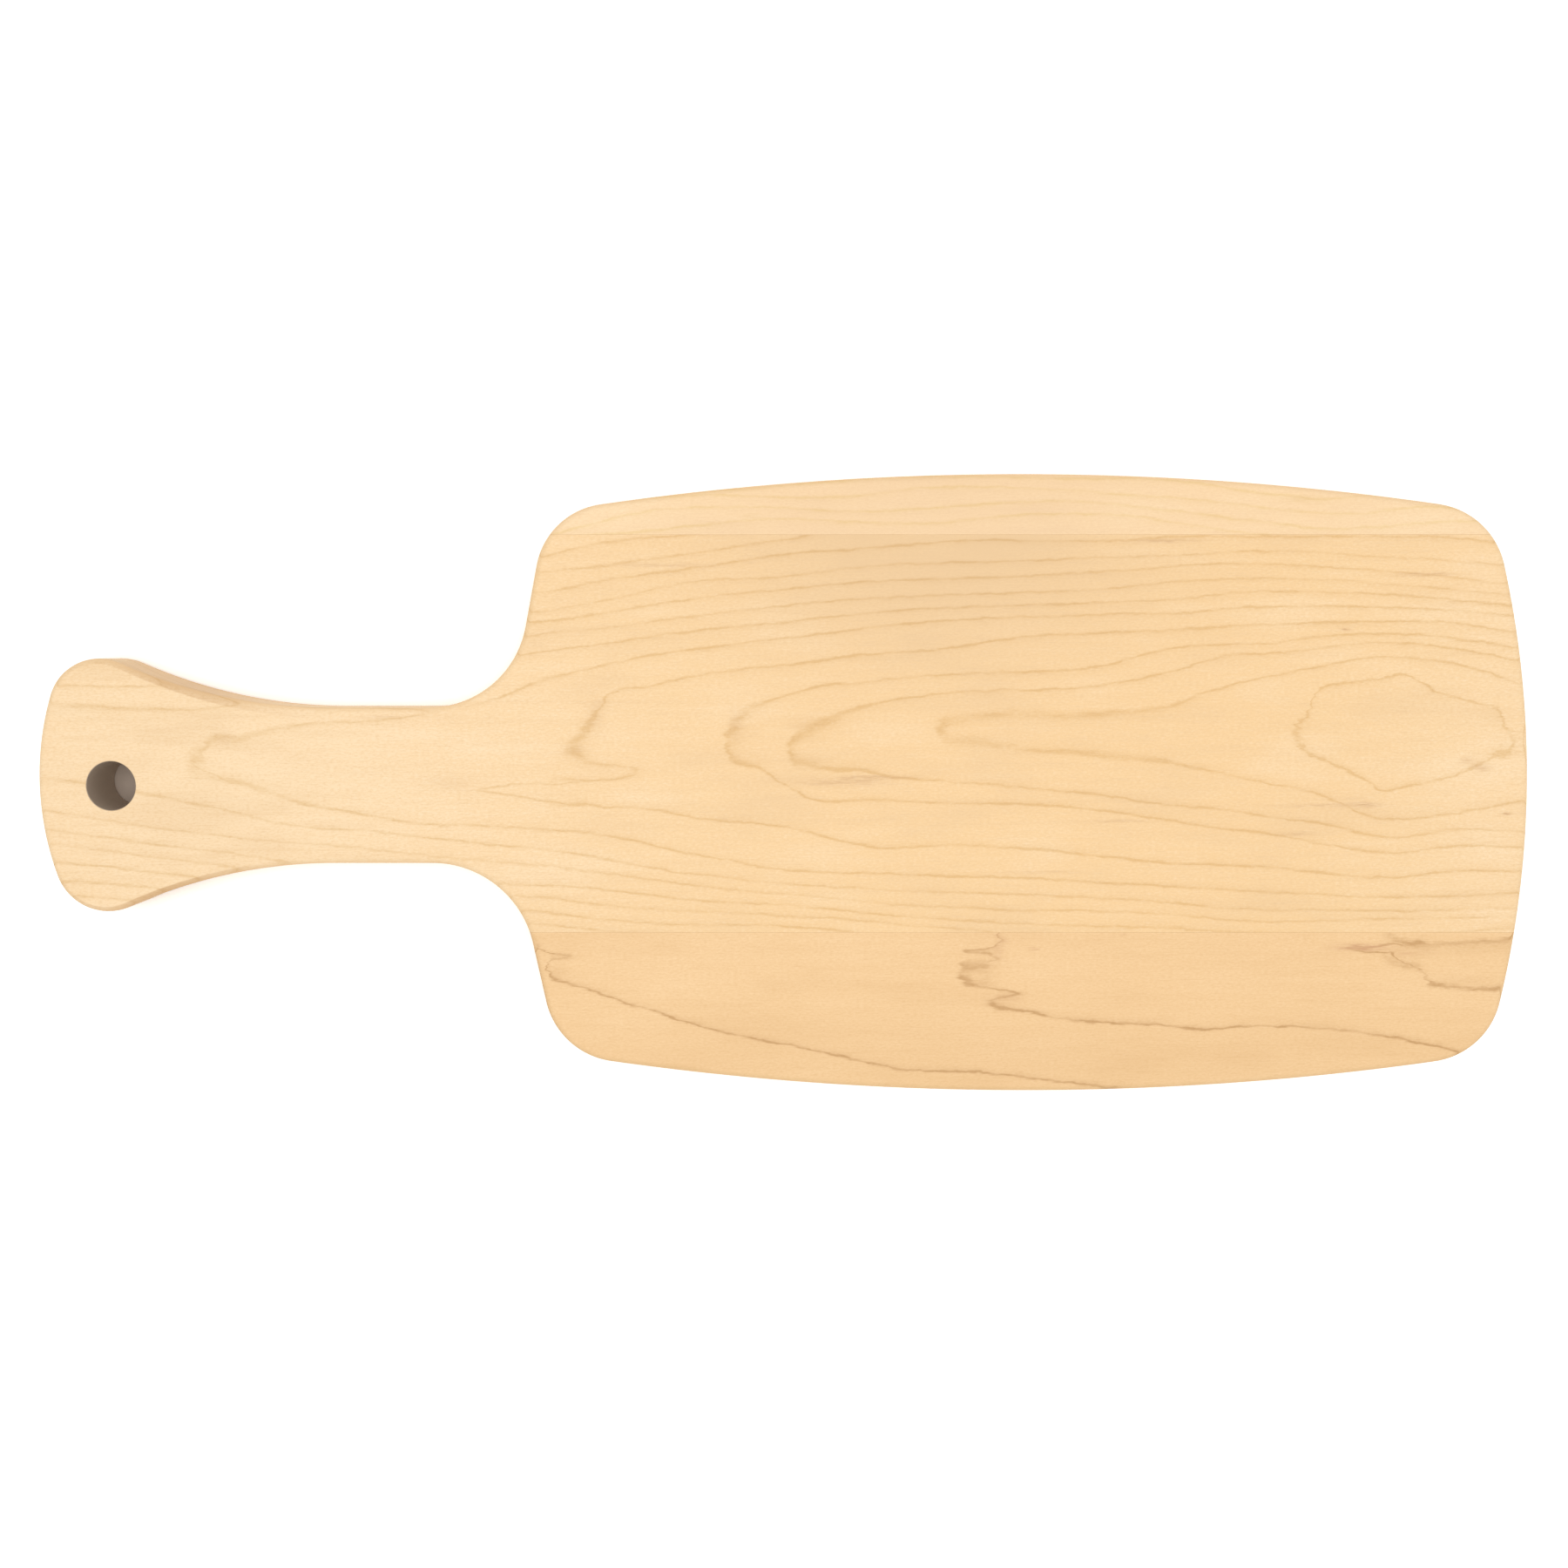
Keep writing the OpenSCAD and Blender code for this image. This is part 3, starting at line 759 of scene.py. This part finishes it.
def buildMaple(t, s):
    # The wood between the rings: faint fibres, short flecks, fine mottle and broad clouds of tone. Over it
    # come the rings and marks, then a warmer tone where the face rounds over into the edges, with pores on
    # the end grain, then painted shade on the rounded-over edges and a strip along the flare. Height is for
    # the bump of the open fibres.
    group, given, result = newGroup("maple", [
        ("Position", "Vector"), ("Facing", "Vector"), ("Base", "Color"), ("Pale", "Color"), ("Deep", "Color"),
        ("Ring Colour", "Color"), ("Mark Colour", "Color"), ("End Colour", "Color"),
        *floats("Line", "Mark", "Paler", "Deeper", "Edge Shade", "Strip Shade", "Fleck")],
        [("Colour", "Color"), *floats("Roughness", "Height")])
    fibre, fleck, streak, cloud, mottle, pores = [
        noise(group, given["Position"], *waves) for waves in woodNoise.values()]
    paleFleck = calc(group, "MULTIPLY", given["Fleck"], calc(group, "ADD", given["Paler"], s["evenFleck"]))
    pale = total(
        group, given["Paler"], ramp(group, cloud, *t["paleCloud"]), ramp(group, mottle, *t["paleMottle"]),
        calc(group, "MULTIPLY", ramp(group, fleck, *t["paleFleck"]), paleFleck),
        ramp(group, streak, *t["paleStreak"]))
    deep = total(
        group, given["Deeper"], ramp(group, cloud, *t["deepCloud"]), ramp(group, mottle, *t["deepMottle"]),
        calc(group, "MULTIPLY", ramp(group, fibre, *t["deepFibre"]), given["Fleck"]),
        ramp(group, streak, *t["deepStreak"]))
    colour = tint(group, limited(group, pale), given["Base"], given["Pale"])
    colour = tint(group, limited(group, deep), colour, given["Deep"])
    deeperLine = calc(group, "MULTIPLY_ADD", given["Deeper"], s["deeperLine"], 1.0)
    line = calc(group, "MULTIPLY", given["Line"], deeperLine)
    colour = tint(group, line, colour, given["Ring Colour"], "MULTIPLY")
    colour = tint(group, limited(group, given["Mark"]), colour, given["Mark Colour"])
    facing = axes(group, given["Facing"])
    upright = calc(group, "ABSOLUTE", facing["Z"])
    edge = ramp(group, upright, *t["edge"])
    endGrain = ramp(group, calc(group, "ABSOLUTE", facing["X"]), *t["endGrain"])
    porous = total(group, calc(group, "MULTIPLY", ramp(group, pores, *t["pores"]), endGrain), given["Line"])
    edgeTone = tint(group, porous, given["End Colour"], given["Ring Colour"], "MULTIPLY")
    colour = tint(group, edge, colour, edgeTone)
    # Painted shade: the rounded-over edges and the strip along the flare are darkened by the spots' share
    rounded = ramp(group, upright, *t["roundedOff"])
    rounded = calc(group, "MULTIPLY", rounded, ramp(group, upright, *t["wall"]))
    shadedEdge = calc(group, "MAXIMUM", rounded, given["Strip Shade"])
    edgeShadeShare = calc(group, "MULTIPLY", given["Edge Shade"], shadedEdge, clamp=True)
    colour = tint(group, edgeShadeShare, colour, linear(*s["edgeShadeColour"]), "MULTIPLY")
    plug(group, colour, result["Colour"])
    rough = total(
        group, s["roughness"], calc(group, "MULTIPLY", fibre, s["fibreRoughness"]),
        calc(group, "MULTIPLY", given["Line"], s["lineRoughness"]))
    plug(group, rough, result["Roughness"])
    height = total(
        group, calc(group, "MULTIPLY", fibre, s["fibreHeight"]),
        calc(group, "MULTIPLY", fleck, s["fleckHeight"]))
    plug(group, height, result["Height"])
    return group


maple = buildMaple(tones, surface)

# Colours are as a picture shows them. A paler, deeper or painted-shade place is (x, y, length, width, share).

finishes = {
    "centrePlank": {
        "grain": centreGrain, "lineWidth": 0.35, "sway": 1.0, "ruffle": 1.3, "tear": 4.0, "fray": 0.5,
        "base": (249, 210, 156), "pale": (255, 226, 185), "deep": (237, 201, 154), "ring": (241, 234, 220),
        "mark": (212, 170, 125), "end": (255, 218, 168), "fleck": 0.36,
        "paler": [(-172, 0, 112, 90, 0.8), (224, 0, 42, 90, 0.4)], "deeper": [(48, 68, 62, 30, 0.8)],
        # the darker bore colour is painted shade inside the hole, and the two spots at the flares are painted
        # shade on their rounded-over edges
        "holeShadeColour": (187, 169, 150), "edgeShadeSpots": [(-190, -33, 24, 14, 0.75), (-184, 31, 28, 12, 0.53)],
        # painted shade along the upper flare's arc, between two distances from it
        "flareStripShade": {"centre": (-133.5, 181), "radius": 158, "from": 0.9, "to": 2.8, "blur": 0.3},
    },
    "lowerStave": {
        "grain": lowerGrain, "lineWidth": 0.33, "sway": 0.8, "ruffle": 1.6, "tear": 7.0, "fray": 0.6,
        "base": (245, 205, 153), "pale": (254, 218, 170), "deep": (234, 192, 139), "ring": (219, 208, 194),
        "mark": (216, 169, 125), "end": (243, 200, 143), "fleck": 0.4,
        "paler": [(-40, -50, 40, 20, 0.2)], "deeper": [(80, -85, 120, 14, 0.3)],
    },
    "upperStave": {
        "grain": upperGrain, "lineWidth": 0.36, "sway": 0.8, "ruffle": 1.3, "tear": 5.0, "fray": 0.7,
        "base": (250, 215, 169), "pale": (255, 226, 184), "deep": (241, 206, 163), "ring": (248, 246, 232),
        "mark": (232, 196, 142), "end": (251, 211, 160), "fleck": 0.35,
        "paler": [(-60, 85, 30, 15, 0.5), (200, 80, 30, 15, 0.4)], "deeper": [(50, 88, 60, 20, 0.45)],
    },
}


def mapleMaterial(name, f):
    material, tree, shader = newMaterial(name + "Maple")
    place = tree.nodes.new("ShaderNodeTexCoord")
    scale = tree.nodes.new("ShaderNodeVectorMath")
    scale.operation = "SCALE"
    tree.links.new(place.outputs["Object"], scale.inputs[0])
    scale.inputs["Scale"].default_value = 1 / mm
    position = scale.outputs[0]
    shader.inputs["Specular IOR Level"].default_value = surface["specular"]
    grain = useGroup(tree, buildGrain(name + "Grain", f["grain"], f), Position=position)
    x, y = axes(tree, position)[:2]
    wood = useGroup(tree, maple, **{
        "Position": position, "Facing": place.outputs["Normal"], "Base": linear(*f["base"]),
        "Pale": linear(*f["pale"]), "Deep": linear(*f["deep"]), "Ring Colour": linear(*f["ring"]),
        "Mark Colour": linear(*f["mark"]), "End Colour": linear(*f["end"]),
        "Line": grain["Line"], "Mark": grain["Mark"],
        "Paler": total(tree, *[spot(tree, x, y, s) for s in f["paler"]]),
        "Deeper": total(tree, *[spot(tree, x, y, s) for s in f["deeper"]]),
        "Edge Shade": total(tree, 0.0, *[spot(tree, x, y, s) for s in f.get("edgeShadeSpots", [])]),
        "Strip Shade": paintedStripShade(tree, x, y, f["flareStripShade"]) if "flareStripShade" in f else 0.0,
        "Fleck": f["fleck"]})
    colour = wood["Colour"]
    # painted shade on the wall inside the hole
    if "holeShadeColour" in f:
        colour = paintedHoleShade(tree, x, y, colour, f["holeShadeColour"], hangHole)
    tree.links.new(colour, shader.inputs["Base Color"])
    tree.links.new(wood["Roughness"], shader.inputs["Roughness"])
    bump = tree.nodes.new("ShaderNodeBump")
    bump.inputs["Strength"].default_value = surface["bumpStrength"]
    bump.inputs["Distance"].default_value = surface["bumpDistance"] * mm
    tree.links.new(wood["Height"], bump.inputs["Height"])
    tree.links.new(bump.outputs["Normal"], shader.inputs["Normal"])
    return material


def paintedStripShade(tree, x, y, band):
    # Painted shade: a strip of the face darkened between two distances from the flare's arc
    east = calc(tree, "SUBTRACT", x, band["centre"][0])
    north = calc(tree, "SUBTRACT", y, band["centre"][1])
    away = hypotenuse(tree, east, north)
    start, end, blur = band["radius"] + band["from"], band["radius"] + band["to"], band["blur"]
    begun = ramp(tree, away, start - blur, start + blur)
    return calc(tree, "MULTIPLY", begun, ramp(tree, away, end + blur, end - blur))


def paintedHoleShade(tree, x, y, colour, holeShade, h):
    # Painted shade: inside the drilled hole the wood is coloured darker, for the shade in the recess
    away = hypotenuse(tree, calc(tree, "SUBTRACT", x, holeX), y)
    starts, full = [h["diameter"] / 2 + share * h["easedRim"] for share in h["holeShadeRamp"]]
    return tint(tree, ramp(tree, away, starts, full), colour, linear(*holeShade))


glueFinish = {
    "clouds": ((180, 180, 180), 3.0, 0.5),      # waves per metre, detail and roughness
    "amber": (228, 188, 136), "brown": (205, 162, 108), "roughness": (0.2, 0.8, 0.35, 0.55),
}


def glueMaterial(f):
    # Cured glue, amber and a little cloudy, thin as a hair
    material, tree, shader = newMaterial("curedGlue")
    place = tree.nodes.new("ShaderNodeTexCoord")
    cloudy = noise(tree, place.outputs["Object"], *f["clouds"])
    colour = tint(tree, cloudy, linear(*f["amber"]), linear(*f["brown"]))
    tree.links.new(colour, shader.inputs["Base Color"])
    tree.links.new(ramp(tree, cloudy, *f["roughness"]), shader.inputs["Roughness"])
    return material


for name, finish in finishes.items():
    pieces[name].data.materials.append(mapleMaterial(name, finish))
glue = glueMaterial(glueFinish)
for name in ("upperGlueLine", "lowerGlueLine"):
    pieces[name].data.materials.append(glue)
print("finishes laid on:", [material.name for material in bpy.data.materials])


# Floor, light and camera

studio = {
    "floorSize": 6.0, "floorDrop": 0.0004,          # metres
    "floorColour": 0.86, "floorSeen": 1.55,         # how pale it is, and how much paler the camera sees it
    "floorRoughness": 0.9,
    "floorShadeInHole": (0.45, 0.37, 0.305),             # painted shade on the floor under the hole, warmed as painted bounce light from the wood round it
    "skyLight": 0.56, "skySeen": 0.77,              # the camera sees it as pale as the far floor
    "keyPower": 13.6, "keySize": 1.2, "keyPlace": (0.05, 0.1, 1.6),
    "cameraPlace": (0.0002, 0.0400, 0.4649), "cameraTilt": -2.93,
    "lens": 33.54, "sensor": 36.0, "shiftY": -0.0345, "clip": (0.01, 50),
}


def raySees(tree):      # 1 where the camera sees a place, also in a reflection or through glass
    rays = tree.nodes.new("ShaderNodeLightPath")
    seen = calc(tree, "MAXIMUM", rays.outputs["Is Camera Ray"], rays.outputs["Is Glossy Ray"])
    return calc(tree, "MAXIMUM", seen, rays.outputs["Is Transmission Ray"])


def makeFloor(s):
    half = s["floorSize"] / 2
    corners = np.array([[-1, -1], [1, -1], [1, 1], [-1, 1]]) * half
    mesh = bpy.data.meshes.new("studioFloor")
    mesh.from_pydata([(x, y, -s["floorDrop"]) for x, y in corners.tolist()], [], [(0, 1, 2, 3)])
    floor = placed("studioFloor", mesh)
    material, tree, shader = newMaterial("paleFloor")
    shader.inputs["Roughness"].default_value = s["floorRoughness"]
    shader.inputs["Specular IOR Level"].default_value = 0.0
    seen = raySees(tree)
    level = [s["floorColour"]] * 3 + [1.0]
    lifted = [s["floorColour"] * s["floorSeen"]] * 3 + [1.0]
    # Painted shade: under the hole the floor has a fixed darker, warmer colour for every ray
    place = tree.nodes.new("ShaderNodeTexCoord")
    apart = tree.nodes.new("ShaderNodeVectorMath")
    apart.operation = "DISTANCE"
    tree.links.new(place.outputs["Object"], apart.inputs[0])
    apart.inputs[1].default_value = (holeX * mm, 0, 0)
    inHole = calc(tree, "LESS_THAN", apart.outputs["Value"], hangHole["diameter"] * mm)
    pale = tint(tree, seen, level, lifted)
    tree.links.new(tint(tree, inHole, pale, (*s["floorShadeInHole"], 1.0)), shader.inputs["Base Color"])
    mesh.materials.append(material)


def makeLight(s):
    world = bpy.data.worlds.new("softStudio")
    world.use_nodes = True
    sky = world.node_tree.nodes["Background"]
    sky.inputs["Color"].default_value = (1, 1, 1, 1)
    tree = world.node_tree
    level = ramp(tree, raySees(tree), 0, 1, s["skyLight"], s["skySeen"])
    tree.links.new(level, sky.inputs["Strength"])
    bpy.context.scene.world = world
    lamp = bpy.data.lights.new("softBox", "AREA")
    lamp.energy, lamp.shape, lamp.size = s["keyPower"], "SQUARE", s["keySize"]
    box = placed("softBox", lamp)
    box.location = s["keyPlace"]
    box.rotation_euler = (-Vector(s["keyPlace"])).to_track_quat("-Z", "Y").to_euler()


def makeCamera(s):
    data = bpy.data.cameras.new("photoCamera")
    data.sensor_width, data.lens, data.shift_y = s["sensor"], s["lens"], s["shiftY"]
    data.clip_start, data.clip_end = s["clip"]
    camera = placed("photoCamera", data)
    camera.location = s["cameraPlace"]
    camera.rotation_euler = (math.radians(s["cameraTilt"]), 0, 0)
    bpy.context.scene.camera = camera


makeFloor(studio)
makeLight(studio)
makeCamera(studio)
bpy.context.scene.view_settings.view_transform = "Standard"
print("studio set")
